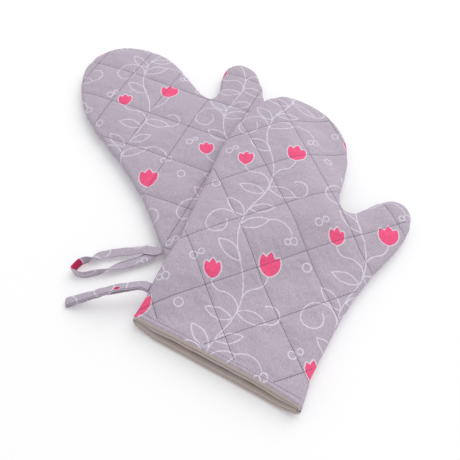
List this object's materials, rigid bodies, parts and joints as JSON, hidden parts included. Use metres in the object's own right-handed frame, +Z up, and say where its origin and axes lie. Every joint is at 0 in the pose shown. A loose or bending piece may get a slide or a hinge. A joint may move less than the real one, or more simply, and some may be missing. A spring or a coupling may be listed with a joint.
{
  "type": "oven mitts",
  "caption": "Quilted cotton oven mitts with padded walls, plain lining, stitched channels, hemmed cuffs and tape hanging loops, lying crossed on a level surface.",
  "frame": {"origin": "middle of the whole, seen from above, on the surface that it lies on", "axes": "+Z up, +Y away from the open cuff of the upper mitt towards the finger ends, +X towards the upper mitt's thumb"},
  "size_m": [0.3616, 0.4416, 0.0356],
  "materials": {
    "outer_cloth": "matte plain-weave printed cotton",
    "wadding": "soft fibre wadding",
    "lining_cloth": "matte plain-weave cotton",
    "thread": "matte sewing thread",
    "tape": "matte folded cotton tape"
  },
  "bodies": {
    "under_mitt": {"under_outer_top": "outer_cloth", "under_outer_bottom": "outer_cloth", "under_wadding_top": "wadding", "under_wadding_bottom": "wadding", "under_lining_top": "lining_cloth", "under_lining_bottom": "lining_cloth", "under_quilting_thread_top": "thread", "under_quilting_thread_bottom": "thread", "under_cuff_stitching_top": "thread", "under_cuff_stitching_bottom": "thread", "under_side_seam_thread": "thread"},
    "under_loop": {"under_hanging_loop": "tape"},
    "over_mitt": {"over_outer_top": "outer_cloth", "over_outer_bottom": "outer_cloth", "over_wadding_top": "wadding", "over_wadding_bottom": "wadding", "over_lining_top": "lining_cloth", "over_lining_bottom": "lining_cloth", "over_quilting_thread_top": "thread", "over_quilting_thread_bottom": "thread", "over_cuff_stitching_top": "thread", "over_cuff_stitching_bottom": "thread", "over_side_seam_thread": "thread"},
    "over_loop": {"over_hanging_loop": "tape"}
  },
  "joints": [
    {"name": "over_mitt_lift", "type": "slide", "parent": "under_mitt", "child": "over_mitt", "axis": [0, 0, 1], "range_m": [0, 0.15]},
    {"name": "under_loop_hinge", "type": "hinge", "parent": "under_mitt", "child": "under_loop", "pos_m": [-0.07164, -0.07591, 0.0088], "axis": [-0.3681, 0.9298, 0], "range_deg": [0, 90]},
    {"name": "over_loop_hinge", "type": "hinge", "parent": "over_mitt", "child": "over_loop", "pos_m": [-0.07661, -0.11659, 0.0195], "axis": [0.4772, 0.8788, 0], "range_deg": [0, 90]}
  ]
}
